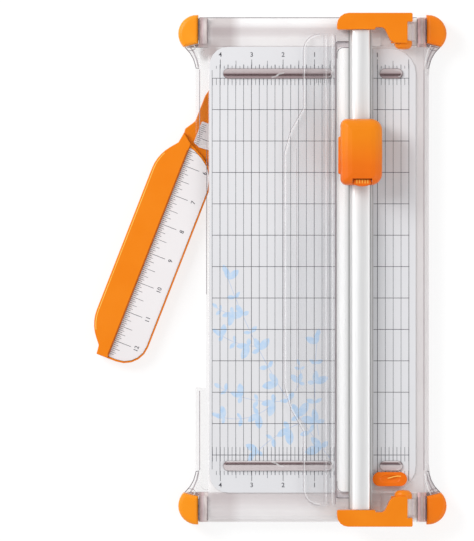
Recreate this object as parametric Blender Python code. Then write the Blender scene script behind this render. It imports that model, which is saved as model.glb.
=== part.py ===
"""Rotary paper trimmer with a clear base, a lift-up cutting rail and a swing-out ruler arm.

All sizes in this file are millimetres in the base's own frame: X to the right, Y to the rear,
Z up, with the base's centre at X = 0, Y = 0 and the table at Z = 0.  MM turns them into metres.
The whole object hangs on one empty that is set off by FRAME_X, so that the world origin lies
under the middle of the object as it stands with its ruler arm part way out.
"""

import math

import bmesh
import bpy
from mathutils import Vector

MM = 0.001
GAP = 0.3
FRAME_X = 34.12

# Clear base
BASE_HALF_WIDTH = 94.5
BASE_SHOULDER = 90.2
BASE_BOTTOM = 2.0
PLATFORM_TOP = 18.0
PLATFORM_THICK = 2.5
END_BAR_INNER = 180.8
END_BAR_OUTER = 204.5
NOTCH_EDGE = -86.0
NOTCH_FRONT = -95.6
NOTCH_REAR = 101.0
UNDERPASS_TOP = 10.4
LEDGE_INNER = 154.8
LEDGE_OUTER = 162.5
LEDGE_TOP = 20.5
LEFT_LEDGE = (-72.0, 16.2)
RIGHT_LEDGE = (54.6, 72.9)

# Corner caps and feet
CAP_INNER = 92.4
CAP_CENTRE = (93.4, 191.0)
CAP_RADIUS = 15.2
CAP_BOTTOM = 1.8
CAP_TOP = 21.5
PAD_RADIUS = 6.0
PAD_HEIGHT = 3.7
PAD_PLACE = (98.0, 192.5)

# Mats and cutting strip
MAT_LOW = 18.3
MAT_TOP = 19.1
STRIP_LEFT = 19.6
STRIP_RIGHT = 34.0
STRIP_HALF_LENGTH = 180.0
STRIP_TOP = 19.6

# Rail
RAIL_HALF_LENGTH = 193.5
RAIL_BOTTOM = 21.0
RAIL_TOP = 33.0
RAIL_CENTRE = 39.1
BRACKET_LOW = 23.4
BRACKET_TOP = 36.0
HINGE_X = 73.2
HINGE_Z = 27.0
HINGE_RADIUS = 7.15
GUARD_LOW = 21.0
GUARD_TOP = 23.0
GUARD_RIGHT = 26.5

# Carriage and blade
CUT_LINE = 27.05
CARRIAGE_Y = 94.35
COVER_LOW = 27.5
COVER_TOP = 54.0
PRESS_TRAVEL = 2.4
BLADE_RADIUS = 14.0
BLADE_CENTRE_Z = 36.2
AXLE_RADIUS = 1.6

# Rail lock
LOCK_Y = -169.2
LOCK_LEFT = 48.6
LOCK_RIGHT = 76.4
LOCK_TOP = 24.4

# Swing arm, in its own frame: s runs out along the arm, t towards its grip
ARM_PIVOT = (-62.6, 135.7)
ARM_REST_ANGLE = 21.3
ARM_TIP = 230.7
ARM_LOW = 3.5
TONGUE_TOP = 8.8
TRAY_TOP = 12.8
GRIP_TOP = 14.8


# ---------------------------------------------------------------- materials

def linear(channel):
    """Turn one sRGB channel, 0 to 255, into a linear value."""
    value = channel / 255
    if value <= 0.04045:
        return value / 12.92
    return ((value + 0.055) / 1.055) ** 2.4


def material(name, rgb, roughness, metallic=0.0, alpha=1.0):
    """Make a Principled material from an sRGB colour."""
    made = bpy.data.materials.new(name)
    made.use_nodes = True
    shader = made.node_tree.nodes["Principled BSDF"]
    shader.inputs["Base Color"].default_value = [linear(c) for c in rgb] + [1.0]
    shader.inputs["Roughness"].default_value = roughness
    shader.inputs["Metallic"].default_value = metallic
    shader.inputs["Alpha"].default_value = alpha
    return made


# ---------------------------------------------------------------- outlines

def arc(centre, radius, start, end, steps):
    """Points along an arc; the angles are degrees from +X towards +Y."""
    points = []
    for step in range(steps + 1):
        angle = math.radians(start + (end - start) * step / steps)
        points.append((centre[0] + radius * math.cos(angle), centre[1] + radius * math.sin(angle)))
    return points


def rounded(corners, steps=5):
    """Round off each corner (x, y, radius) of a polygon; a radius of 0 keeps the corner."""
    outline = []
    for index, (x, y, radius) in enumerate(corners):
        here = Vector((x, y))
        if radius <= 0:
            outline.append((x, y))
            continue
        before = (Vector(corners[index - 1][:2]) - here).normalized()
        after = (Vector(corners[(index + 1) % len(corners)][:2]) - here).normalized()
        half = before.angle(after) / 2
        centre = here + (before + after).normalized() * (radius / math.sin(half))
        first = here + before * (radius / math.tan(half)) - centre
        last = here + after * (radius / math.tan(half)) - centre
        start = math.degrees(math.atan2(first.y, first.x))
        turn = (math.degrees(math.atan2(last.y, last.x)) - start + 180) % 360 - 180
        outline += arc(centre, radius, start, start + turn, steps)
    return outline


def rectangle(left, right, low, high, radius=0.0, steps=5):
    """A rectangle with its four corners rounded alike."""
    corners = [(left, low), (right, low), (right, high), (left, high)]
    return rounded([(x, y, radius) for x, y in corners], steps)


def stadium(left, right, low, high, steps=6):
    """A slot shape that runs along X with round ends."""
    return rectangle(left, right, low, high, (high - low) / 2 - 0.01, steps)


def mirrored(outline, side_x=1, side_y=1):
    """Mirror an outline by the signs given."""
    return [(x * side_x, y * side_y) for x, y in outline]


def circle(centre, radius, steps=24):
    """A closed circle."""
    return arc(centre, radius, 0, 360 * (steps - 1) / steps, steps - 1)


# ---------------------------------------------------------------- solids

def place(u, v, w, axis):
    """Put the outline's u, v and the height w along the given axis, in metres."""
    order = {"X": (w, u, v), "Y": (u, w, v), "Z": (u, v, w)}[axis]
    return Vector(order) * MM


def extrude(outline, low, high, axis="Z", top_round=0.0, low_round=0.0, segments=3):
    """Extrude a closed outline, with the edges of its end faces rounded off."""
    mesh = bmesh.new()
    face = mesh.faces.new([mesh.verts.new(place(u, v, low, axis)) for u, v in outline])
    grown = bmesh.ops.extrude_face_region(mesh, geom=[face])["geom"]
    raised = [item for item in grown if isinstance(item, bmesh.types.BMVert)]
    bmesh.ops.translate(mesh, verts=raised, vec=place(0, 0, high - low, axis))
    end_face = next(item for item in grown if isinstance(item, bmesh.types.BMFace))
    bmesh.ops.recalc_face_normals(mesh, faces=mesh.faces)
    for cap, width in ((end_face, top_round), (face, low_round)):
        if width > 0:
            bmesh.ops.bevel(mesh, geom=list(cap.edges), offset=width * MM, segments=segments,
                            profile=0.5, affect="EDGES", clamp_overlap=True)
    bmesh.ops.recalc_face_normals(mesh, faces=mesh.faces)
    return mesh


def turned(profile, centre, axis="Z", steps=32):
    """Turn a profile of (radius, height) about an axis; it starts and ends at any radius."""
    mesh = bmesh.new()
    rings = []
    for radius, height in profile:
        if radius == 0:
            rings.append([mesh.verts.new(place(centre[0], centre[1], height, axis))])
        else:
            points = circle(centre, radius, steps)
            rings.append([mesh.verts.new(place(u, v, height, axis)) for u, v in points])
    join_rings(mesh, rings)
    return mesh


def join_rings(mesh, rings):
    """Bridge rings of vertices one after another and close both ends."""
    for lower, upper in zip(rings, rings[1:]):
        count = max(len(lower), len(upper))
        for index in range(count):
            following = (index + 1) % count
            corners = [lower[index % len(lower)], lower[following % len(lower)],
                       upper[following % len(upper)], upper[index % len(upper)]]
            unique = list(dict.fromkeys(corners))
            mesh.faces.new(unique)
    for ring in (rings[0], rings[-1]):
        if len(ring) > 1:
            mesh.faces.new(ring)
    bmesh.ops.recalc_face_normals(mesh, faces=mesh.faces)


def pipe(outer, inner, low, high, centre, axis="Z", steps=32):
    """A ring with a through hole."""
    mesh = bmesh.new()
    rings = []
    for radius, height in ((outer, low), (outer, high), (inner, high), (inner, low)):
        points = circle(centre, radius, steps)
        rings.append([mesh.verts.new(place(u, v, height, axis)) for u, v in points])
    for lower, upper in zip(rings, rings[1:] + rings[:1]):
        for index in range(steps):
            following = (index + 1) % steps
            mesh.faces.new([lower[index], lower[following], upper[following], upper[index]])
    bmesh.ops.recalc_face_normals(mesh, faces=mesh.faces)
    return mesh


def dome(outlines):
    """Stack outlines with equal point counts, given as (height, outline), into one solid."""
    mesh = bmesh.new()
    rings = []
    for height, outline in outlines:
        rings.append([mesh.verts.new(place(u, v, height, "Z")) for u, v in outline])
    join_rings(mesh, rings)
    return mesh


def coil(centre, radius, wire, low, high, turns, around=14, sides=6):
    """A helical spring that stands on Z, with flat cut ends."""
    mesh = bmesh.new()
    rings = []
    steps = turns * around
    rise = (high - low - 2 * wire) / steps
    for step in range(steps + 1):
        angle = 2 * math.pi * step / around
        outward = Vector((math.cos(angle), math.sin(angle), 0))
        middle = Vector((centre[0], centre[1], low + wire + rise * step)) + outward * radius
        ring = []
        for side in range(sides):
            turn = 2 * math.pi * side / sides
            offset = outward * math.cos(turn) * wire + Vector((0, 0, math.sin(turn) * wire))
            ring.append(mesh.verts.new((middle + offset) * MM))
        rings.append(ring)
    join_rings(mesh, rings)
    return mesh


# ---------------------------------------------------------------- objects

def make_object(name, mesh, look, parent):
    """Turn a bmesh into a named object that lies in its parent's frame."""
    data = bpy.data.meshes.new(name)
    mesh.to_mesh(data)
    mesh.free()
    data.shade_smooth()
    data.set_sharp_from_angle(angle=math.radians(32))
    data.materials.append(look)
    made = bpy.data.objects.new(name, data)
    bpy.context.collection.objects.link(made)
    made.parent = parent
    made.location = -parent_offset(parent)
    return made


def parent_offset(parent):
    """Where a joint's empty stands in the base's frame, in metres."""
    return Vector(parent["stands_at"]) if parent and "stands_at" in parent else Vector((0, 0, 0))


def joint_empty(name, parent, at=(0.0, 0.0, 0.0)):
    """An empty on a joint's axis, at a point given in millimetres of the base's frame."""
    empty = bpy.data.objects.new(name, None)
    bpy.context.collection.objects.link(empty)
    empty["stands_at"] = [value * MM for value in at]
    empty.parent = parent
    empty.location = Vector(empty["stands_at"]) - parent_offset(parent)
    return empty


def shape(body, operation, tools):
    """Unite with or cut from a body, given bmeshes; the tools are used up."""
    for tool in tools:
        data = bpy.data.meshes.new("tool")
        tool.to_mesh(data)
        tool.free()
        helper = bpy.data.objects.new("tool", data)
        helper.matrix_world = body.matrix_world
        bpy.context.collection.objects.link(helper)
        step = body.modifiers.new("step", "BOOLEAN")
        step.operation = operation
        step.solver = "EXACT"
        step.object = helper
        helper.parent = body.parent
        helper.location = body.location
        bpy.context.view_layer.update()
        evaluated = body.evaluated_get(bpy.context.evaluated_depsgraph_get())
        result = bpy.data.meshes.new_from_object(evaluated)
        body.modifiers.clear()
        old = body.data
        body.data = result
        result.name = old.name
        bpy.data.meshes.remove(old)
        bpy.data.objects.remove(helper)
        bpy.data.meshes.remove(data)
    clean(body)


def clean(body):
    """Merge doubled points, then set the smooth and sharp edges again."""
    mesh = bmesh.new()
    mesh.from_mesh(body.data)
    bmesh.ops.remove_doubles(mesh, verts=mesh.verts, dist=0.000001)
    mesh.to_mesh(body.data)
    mesh.free()
    body.data.shade_smooth()
    body.data.set_sharp_from_angle(angle=math.radians(32))


def unite(body, tools):
    shape(body, "UNION", tools)


def cut(body, tools):
    shape(body, "DIFFERENCE", tools)


# ---------------------------------------------------------------- base

def side_profile():
    """The base's section across X: flat top, rounded shoulders, upright sides."""
    half = [(BASE_HALF_WIDTH, BASE_BOTTOM), (BASE_HALF_WIDTH, 11.5), (94.0, 14.2), (92.6, 16.6),
            (BASE_SHOULDER, PLATFORM_TOP)]
    return half + [(-x, z) for x, z in reversed(half)]


def end_bar_profile():
    """The rounded bar across each end, as (y, z)."""
    return [(178.0, BASE_BOTTOM), (END_BAR_OUTER, BASE_BOTTOM), (END_BAR_OUTER, 9.5), (203.8, 12.6),
            (202.0, 15.6), (199.0, 17.9), (195.5, 19.2), (191.5, 19.8), (187.0, 19.5),
            (183.2, 18.6), (END_BAR_INNER, PLATFORM_TOP), (178.0, PLATFORM_TOP)]


def ear_outline(margin):
    """The base's corner ear under a cap; margin widens it into the cap's pocket."""
    curve = arc(CAP_CENTRE, 12.2 + margin, 90, -26, 6)
    return [(88.0, 203.2 + margin)] + curve + [(88.0, 185.6 - margin)]


def gusset_outline():
    """The flare from the side wall out to the corner cap."""
    return [(88.0, 150.0), (94.5, 158.0), (94.9, 165.5), (96.3, 170.3), (98.9, 175.0),
            (103.6, 179.8), (92.6, 182.7), (88.0, 182.9)]


def hinge_lug(side):
    """The barrel and stem in the base that hold one hinge pin."""
    ends = sorted((185.4 * side, 198.6 * side))
    barrel = extrude(circle((HINGE_X, HINGE_Z), 4.6, 20), ends[0], ends[1], "Y")
    stem_profile = [(69.6, 14.5), (84.3, 14.5), (84.3, 18.6), (80.0, 19.6), (77.4, 21.4),
                    (76.2, 25.0), (75.0, HINGE_Z), (70.2, HINGE_Z)]
    stem = extrude(stem_profile, ends[0] + 0.02, ends[1] - 0.02, "Y")
    return [stem, barrel]


def corner_sides():
    """The signs and the name of each corner."""
    return [(sx, sy, f"{end}_{side}")
            for sy, end in ((-1, "front"), (1, "rear"))
            for sx, side in ((-1, "left"), (1, "right"))]


def make_base(root, look):
    body = make_object("clear_base", extrude(side_profile(), -181.5, 181.5, "Y"), look, root)
    additions = []
    for side in (-1, 1):
        bar = [(y * side, z) for y, z in end_bar_profile()]
        additions.append(extrude(bar, -92.0, 92.0, "X"))
    for side_x, side_y, _ in corner_sides():
        additions.append(extrude(mirrored(ear_outline(0), side_x, side_y), 4.0, 17.8))
        additions.append(extrude(mirrored(gusset_outline(), side_x, side_y), BASE_BOTTOM + 0.01, 16.2,
                                 top_round=1.2, segments=1))
        rib = rectangle(84.8, 91.6, 182.4, 203.9, 1.5, 2)
        additions.append(extrude(mirrored(rib, side_x, side_y), 10.0, 21.2, top_round=1.2, segments=2))
    unite(body, additions)

    hollows = [extrude(rectangle(-90.4, 90.4, -178.2, 178.2, 4, 3), -1, PLATFORM_TOP - PLATFORM_THICK)]
    for side in (-1, 1):
        for left, right in ((-82.6, 52.0), (86.5, 89.8), (-89.8, -86.5)):
            low, high = sorted((181.4 * side, 202.0 * side))
            hollows.append(extrude(rectangle(left, right, low, high, 0.8, 2), -1, 15.4))
        low, high = sorted((181.0 * side, 206.0 * side))
        hollows.append(extrude(rectangle(55.0, 84.6, low, high), 16.6, 40))
    hollows.append(extrude(rectangle(-115, NOTCH_EDGE, NOTCH_FRONT, NOTCH_REAR), -1, 40))
    hollows.append(extrude(rectangle(-115, -80, 90, 171.5), -1, UNDERPASS_TOP))
    channel = rectangle(STRIP_LEFT - 0.9, STRIP_RIGHT + 0.9, -184.3, 184.3, 2.5, 3)
    hollows.append(extrude(channel, PLATFORM_TOP - 1.0, 40))
    lock_slot = rectangle(54.8, 71.2, LOCK_Y - 2.2, LOCK_Y + 2.2, 1.0, 2)
    hollows.append(extrude(lock_slot, 10, 40))
    cut(body, hollows)

    details = [turned([(4.6, 9.3), (4.6, 15.9)], ARM_PIVOT, steps=24)]
    for side in (-1, 1):
        details += hinge_lug(side)
        for left, right in (LEFT_LEDGE, RIGHT_LEDGE):
            low, high = sorted((LEDGE_INNER * side, LEDGE_OUTER * side))
            details.append(extrude(stadium(left, right, low, high, 4), 17.0, LEDGE_TOP,
                                   top_round=0.9, segments=1))
    unite(body, details)

    holes = [turned([(2.1, 9.0), (2.1, 14.8)], ARM_PIVOT, steps=20)]
    for side in (-1, 1):
        low, high = sorted((184.0 * side, 200.0 * side))
        holes.append(extrude(circle((HINGE_X, HINGE_Z), 1.85, 20), low, high, "Y"))
        for left, right in (LEFT_LEDGE, RIGHT_LEDGE):
            low, high = sorted((156.9 * side, 157.9 * side))
            holes.append(extrude(rectangle(left + 1.9, right - 1.9, low, high, 0.4, 2),
                                 LEDGE_TOP - 1.0, LEDGE_TOP + 2))
    cut(body, holes)
    return body


def make_corner_caps(root, look):
    for side_x, side_y, corner in corner_sides():
        curve = arc(CAP_CENTRE, CAP_RADIUS, 90, -44, 12)
        outline = [(CAP_INNER, CAP_CENTRE[1] + CAP_RADIUS)] + curve[1:] + [(CAP_INNER, 183.3)]
        solid = extrude(mirrored(outline, side_x, side_y), CAP_BOTTOM, CAP_TOP,
                        top_round=3.0, low_round=0.8, segments=3)
        cap = make_object(f"corner_cap_{corner}", solid, look, root)
        cut(cap, [extrude(mirrored(ear_outline(0.35), side_x, side_y), 0, 18.2)])


def make_foot_pads(root, look):
    for side_x, side_y, corner in corner_sides():
        centre = (PAD_PLACE[0] * side_x, PAD_PLACE[1] * side_y)
        profile = [(PAD_RADIUS - 0.5, 0), (PAD_RADIUS, 0.5), (PAD_RADIUS, PAD_HEIGHT)]
        make_object(f"foot_pad_{corner}", turned(profile, centre, steps=20), look, root)


def make_mats(root, look):
    left_outline = rounded([(18.2, -180.3, 1), (18.2, 180.3, 1), (-83.3, 180.3, 15),
                            (-83.3, -180.3, 15)])
    right_outline = rounded([(49.2, 178.7, 1), (49.2, -178.7, 1), (83.5, -178.7, 20),
                             (83.5, 178.7, 20)])
    for name, outline, ledge in (("mat_left", left_outline, LEFT_LEDGE),
                                 ("mat_right", right_outline, RIGHT_LEDGE)):
        mat = make_object(name, extrude(outline, MAT_LOW, MAT_TOP), look, root)
        slots = []
        for side in (-1, 1):
            low, high = sorted((LEDGE_INNER * side, LEDGE_OUTER * side))
            slots.append(extrude(stadium(ledge[0] - 0.35, ledge[1] + 0.35, low - 0.35, high + 0.35),
                                 10, 30))
        if name == "mat_right":
            opening = rectangle(53.6, 72.4, LOCK_Y - 3.2, LOCK_Y + 3.2, 1.2, 2)
            slots.append(extrude(opening, 10, 30))
        cut(mat, slots)


def make_cutting_strip(root, look):
    outline = rectangle(STRIP_LEFT, STRIP_RIGHT, -STRIP_HALF_LENGTH, STRIP_HALF_LENGTH, 4)
    solid = extrude(outline, PLATFORM_TOP - 1.0 + GAP, STRIP_TOP, top_round=0.4, segments=2)
    make_object("cutting_strip", solid, look, root)


def make_hinge_pins(root, look):
    for side, end in ((-1, "front"), (1, "rear")):
        low, high = sorted((180.4 * side, 206.6 * side))
        pin = extrude(circle((HINGE_X, HINGE_Z), 1.5, 20), low, high, "Y",
                      top_round=0.3, low_round=0.3, segments=1)
        make_object(f"hinge_pin_{end}", pin, look, root)


# ---------------------------------------------------------------- rail

def rail_profile():
    """The extruded rail's section, as (x, z): feet, side grooves, crowned top, open below."""
    right = [(3.3, RAIL_BOTTOM), (9.1, RAIL_BOTTOM), (9.1, 22.2), (7.1, 22.2), (7.1, 25.0), (5.8, 25.0),
             (5.8, 28.0), (7.1, 28.0), (7.1, 31.4), (6.5, 32.2), (5.2, 32.6), (2.6, 32.9)]
    left = [(-9.9, z) if x == 9.1 else (-x, z) for x, z in reversed(right)]
    channel = [(-3.3, 28.4), (3.3, 28.4)]
    return [(RAIL_CENTRE + x, z) for x, z in right + [(0.0, RAIL_TOP)] + left + channel]


def bracket_screw_points():
    return [(RAIL_CENTRE - 2.9, 30.7), (RAIL_CENTRE + 2.9, 30.7)]


def make_rail(rail_empty, look):
    solid = extrude(rail_profile(), -RAIL_HALF_LENGTH, RAIL_HALF_LENGTH, "Y")
    rail = make_object("rail", solid, look, rail_empty)
    holes = []
    for point in bracket_screw_points():
        for low, high in ((-200, -181.5), (181.5, 200)):
            holes.append(extrude(circle(point, 1.4, 12), low, high, "Y"))
    cut(rail, holes)


def bracket_outline(corner_radius):
    """An end bracket seen from above: a bar over the rail's end and a leg to the hinge."""
    return rounded([(19.6, 207.2, corner_radius), (19.6, 193.8, 1.5), (50.4, 193.8, 0.8),
                    (50.8, 195.6, 0.4), (57.6, 195.6, 4.0), (62.6, 185.2, 3.0), (66.2, 182.9, 0.4),
                    (76.5, 182.9, 0.5), (76.5, 200.2, 0.5), (80.6, 200.2, 0.6),
                    (80.6, 207.2, 1.2)], 4)


def make_bracket(name, side, corner_radius, rail_empty, look):
    outline = mirrored(bracket_outline(corner_radius), 1, side)
    solid = extrude(outline, BRACKET_LOW, BRACKET_TOP, top_round=2.2, segments=2)
    bracket = make_object(name, solid, look, rail_empty)

    low, high = sorted((194.6 * side, 202.4 * side))
    rest = extrude(rectangle(29.5, 40.5, low, high, 1, 2), 20.1, 24.0)
    skirt_low, skirt_high = sorted((183.0 * side, 203.0 * side))
    skirt = extrude(rectangle(63.4, 76.4, skirt_low, skirt_high, 0.4, 2), 21.0, 24.0)
    profile = [(HINGE_RADIUS, 184.9 * side), (HINGE_RADIUS, 181.6 * side), (6.2, 179.6 * side),
               (4.4, 178.3 * side), (0, 177.8 * side)]
    boss = turned(profile, (HINGE_X, HINGE_Z), "Y", 24)
    unite(bracket, [rest, skirt, boss])

    low, high = sorted((185.0 * side, 199.1 * side))
    pocket = extrude(rectangle(66.0, 90.0, low, high), 15.0, 32.0)
    low, high = sorted((180.0 * side, 212.0 * side))
    pin_hole = extrude(circle((HINGE_X, HINGE_Z), 1.85, 20), low, high, "Y")
    cutters = [pocket, pin_hole]
    for point in bracket_screw_points():
        low, high = sorted((190.0 * side, 212.0 * side))
        cutters.append(extrude(circle(point, 1.4, 12), low, high, "Y"))
        low, high = sorted((205.2 * side, 212.0 * side))
        cutters.append(extrude(circle(point, 2.7, 16), low, high, "Y"))
    cutters.append(turned([(1.4, 20.0), (1.4, 29.5)], (23.2, 199.6 * side), steps=16))
    cut(bracket, cutters)


def make_bracket_screws(rail_empty, look):
    for side, end in ((-1, "front"), (1, "rear")):
        for point, place_name in zip(bracket_screw_points(), ("left", "right")):
            profile = [(0, 183.0 * side), (1.1, 184.2 * side), (1.1, 205.5 * side), (2.35, 205.5 * side),
                       (2.35, 206.4 * side), (1.6, 206.9 * side)]
            make_object(f"bracket_screw_{end}_{place_name}", turned(profile, point, "Y", 14), look,
                        rail_empty)


def guard_outline():
    """The clear guard: its left edge steps out to a wider middle, its ends tuck under the brackets."""
    half = [(GUARD_RIGHT, 203.2, 1.0), (19.9, 203.2, 1.5), (19.9, 191.3, 0.5), (-8.2, 191.3, 14.0),
            (-8.2, 130.8, 4.0), (-18.6, 112.6, 8.0), (-23.8, 94.0, 22.0)]
    return rounded(half + [(x, -y, r) for x, y, r in reversed(half)], 5)


def make_guard(rail_empty, look):
    solid = extrude(guard_outline(), GUARD_LOW, GUARD_TOP, top_round=0.9, segments=2)
    guard = make_object("paper_guard", solid, look, rail_empty)
    cut(guard, [turned([(1.5, 19), (1.5, 25)], (23.2, 199.6 * side), steps=16) for side in (-1, 1)])


def make_guard_screws(rail_empty, look):
    for side, end in ((-1, "front"), (1, "rear")):
        profile = [(2.3, 19.5), (2.4, 20.7), (1.1, 20.7), (1.1, 28.0), (0, 29.0)]
        make_object(f"guard_screw_{end}", turned(profile, (23.2, 199.6 * side), steps=16), look,
                    rail_empty)


# ---------------------------------------------------------------- carriage

def make_shoe(slide_empty, look):
    """The slider that wraps the rail and runs in its side grooves."""
    right = [(8.8, 35.4), (8.8, 24.6), (7.5, 24.6), (7.5, 25.4), (6.2, 25.4), (6.2, 27.6), (7.5, 27.6),
             (7.5, 33.4)]
    profile = right + [(-x, z) for x, z in reversed(right)]
    solid = extrude([(RAIL_CENTRE + x, z) for x, z in profile], CARRIAGE_Y - 22.5, CARRIAGE_Y + 22.5, "Y")
    make_object("carriage_shoe", solid, look, slide_empty)


def make_press_springs(slide_empty, look):
    for side, end in ((-1, "front"), (1, "rear")):
        spring = coil((RAIL_CENTRE, CARRIAGE_Y + 14 * side), 3.5, 0.5, 35.7, 47.6, 4, around=10, sides=5)
        make_object(f"press_spring_{end}", spring, look, slide_empty)


def cover_outline(inset):
    """The carriage cover seen from above, drawn in by an inset."""
    left, right = 22.5 + inset, 55.7 - inset
    front, rear = 68.2 + inset, 121.4 - inset
    tight, soft = max(5.0 - inset, 1.0), max(9.0 - inset, 1.5)
    return rounded([(left, front, tight), (right, front, soft), (right + 0.2, rear - 26, 0),
                    (right, rear, soft), (left, rear, tight), (left - 0.2, rear - 26, 0)], 6)


def button_outline(margin):
    """The lens-shaped release button in the cover's front end."""
    front = arc((39.7, 82.2), 15.2 + margin, 240, 300, 10)
    return front + [(47.3 + margin, 73.0 + margin), (32.1 - margin, 73.0 + margin)]


def make_cover(press_empty, look):
    rings = [(COVER_LOW, 0.4), (COVER_LOW + 0.8, 0.0), (45.0, 0.0), (48.5, 0.5), (50.8, 1.5),
             (52.4, 3.2), (53.4, 5.6), (COVER_TOP, 9.0)]
    cover = make_object("carriage_cover", dome([(z, cover_outline(d)) for z, d in rings]), look, press_empty)
    side_guard = rounded([(25.0, 77.1, 1), (25.0, 107.4, 1), (20.6, 107.4, 1.5), (20.6, 77.1, 1.5)], 3)
    unite(cover, [extrude(side_guard, COVER_LOW + 0.1, 40.0, top_round=1.4, segments=3)])
    hollow = [(20.0, 2.2), (47.0, 2.2), (49.8, 3.0), (51.2, 4.4)]
    rail_tunnel = rectangle(RAIL_CENTRE - 8.0, RAIL_CENTRE + 8.0, 20.0, RAIL_TOP + PRESS_TRAVEL + 0.5, 1.0, 2)
    cut(cover, [dome([(z, cover_outline(d)) for z, d in hollow]),
                extrude(rail_tunnel, 60.0, 130.0, "Y"),
                extrude(button_outline(0.35), 38.6, 70.0)])
    posts = []
    for side in (-1, 1):
        post = [(2.2, 38.4), (2.2, 52.4)]
        posts.append(turned(post, (RAIL_CENTRE, CARRIAGE_Y + 14 * side), steps=16))
    unite(cover, posts)


def make_release_button(button_empty, look):
    solid = extrude(button_outline(0), 40.2, 50.2, top_round=1.2, segments=3)
    make_object("blade_release_button", solid, look, button_empty)


def make_blade_holder(press_empty, look):
    """The arm inside the cover that carries the blade's axle."""
    side_shape = rounded([(84.4, 50.9, 1), (84.4, 40.0, 4), (88.4, 30.6, 4), (100.3, 30.6, 4),
                          (104.3, 40.0, 4), (104.3, 50.9, 1)], 4)
    holder = make_object("blade_holder", extrude(side_shape, 28.2, 30.0, "X"), look, press_empty)
    cut(holder, [extrude(circle((CARRIAGE_Y, BLADE_CENTRE_Z), AXLE_RADIUS + 0.3, 20), 20, 35, "X")])


def make_blade(press_empty, spin_empty, steel, dark):
    centre = (CARRIAGE_Y, BLADE_CENTRE_Z)
    axle = [(3.4, 25.1), (3.4, 25.8), (AXLE_RADIUS, 25.8), (AXLE_RADIUS, 29.9)]
    make_object("blade_axle", turned(axle, centre, "X", 16), dark, press_empty)
    steps = 36
    edge = 0.15
    disc = bmesh.new()
    rings = []
    bore = AXLE_RADIUS + 0.3
    bevel_start = BLADE_RADIUS - 1.4
    for radius, offset in ((bore, -edge), (bevel_start, -edge), (BLADE_RADIUS, -0.02),
                           (BLADE_RADIUS, 0.02), (bevel_start, edge), (bore, edge)):
        points = circle(centre, radius, steps)
        rings.append([disc.verts.new(place(u, v, CUT_LINE + offset, "X")) for u, v in points])
    for lower, upper in zip(rings, rings[1:] + rings[:1]):
        for index in range(steps):
            following = (index + 1) % steps
            disc.faces.new([lower[index], lower[following], upper[following], upper[index]])
    bmesh.ops.recalc_face_normals(disc, faces=disc.faces)
    make_object("blade_disc", disc, steel, spin_empty)


# ---------------------------------------------------------------- rail lock

def make_lock(lock_empty, orange, white, steel):
    body = extrude(stadium(LOCK_LEFT, LOCK_RIGHT, LOCK_Y - 5.7, LOCK_Y + 5.7, 6), MAT_TOP + GAP, LOCK_TOP,
                   top_round=1.3, segments=2)
    knob = make_object("lock_slide", body, orange, lock_empty)
    stem = extrude(rectangle(58.0, 68.0, LOCK_Y - 1.8, LOCK_Y + 1.8), 14.2, 20.5)
    unite(knob, [stem])
    dish = turned([(0, 23.3), (1.6, 23.4), (3.2, 23.9), (4.4, 25.2)], (62.5, LOCK_Y), steps=20)
    for vertex in dish.verts:
        vertex.co.x = 62.5 * MM + (vertex.co.x - 62.5 * MM) * 2.3
    undercut = extrude(rectangle(40.0, 51.0, LOCK_Y - 9, LOCK_Y + 9), 10, 22.6)
    screw_hole = turned([(1.3, 10), (1.3, 19.0)], (63.0, LOCK_Y), steps=14)
    cut(knob, [dish, undercut, screw_hole])
    keeper = make_object("lock_keeper", extrude(rectangle(53.4, 72.0, LOCK_Y - 4.4, LOCK_Y + 4.4, 1.5, 3),
                                                12.5, 13.9), white, lock_empty)
    cut(keeper, [turned([(1.3, 10), (1.3, 16)], (63.0, LOCK_Y), steps=14)])
    screw = turned([(1.6, 10.7), (2.4, 11.2), (2.4, 12.2), (1.0, 12.2), (1.0, 17.6), (0, 18.4)],
                   (63.0, LOCK_Y), steps=14)
    make_object("lock_screw", screw, steel, lock_empty)


# ---------------------------------------------------------------- swing arm

def arm_points(outline):
    """Turn (s, t) arm coordinates into the base's frame at the arm's rest angle."""
    angle = math.radians(ARM_REST_ANGLE)
    along = Vector((-math.sin(angle), -math.cos(angle)))
    across = Vector((-math.cos(angle), math.sin(angle)))
    pivot = Vector(ARM_PIVOT)
    return [tuple(pivot + along * s + across * t) for s, t in outline]


def grip_side(inset):
    """Corners of the arm's outer edge, from the neck at its near end round to the tip."""
    return [(38.0 + inset, 29.6 - inset, 0), (46.9, 31.0 - inset, 2), (62.4, 43.4 - inset, 34),
            (209.0, 43.4 - inset, 33), (223.4, 31.4 - inset, 3), (ARM_TIP - inset, 30.6 - inset, 0.6)]


def arm_outline():
    """The raised part of the arm: straight grip side, round far corner, hollow near end."""
    return rounded(grip_side(0.0) + [(ARM_TIP, -6.5, 20), (74.0, -6.5, 8), (63.0, -4.6, 6), (56.0, 1.4, 4),
                                     (50.8, 8.2, 5), (46.6, 16.6, 4), (44.4, 21.2, 4)], 5)


def ruler_outline(margin):
    """The long ruler's recess in the arm, with its far corner round."""
    tip = ARM_TIP - 1.7 + margin
    return rounded([(47.6 - margin, 20.8 + margin, 0.6), (tip, 20.8 + margin, 0.6),
                    (tip, -5.1 - margin, 18.6), (75.0, -5.1 - margin, 6),
                    (64.5 - margin, -2.9 - margin, 5), (57.2 - margin, 2.4 - margin, 4),
                    (52.4 - margin, 8.8, 5), (48.4 - margin, 16.8, 2)], 5)


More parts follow.
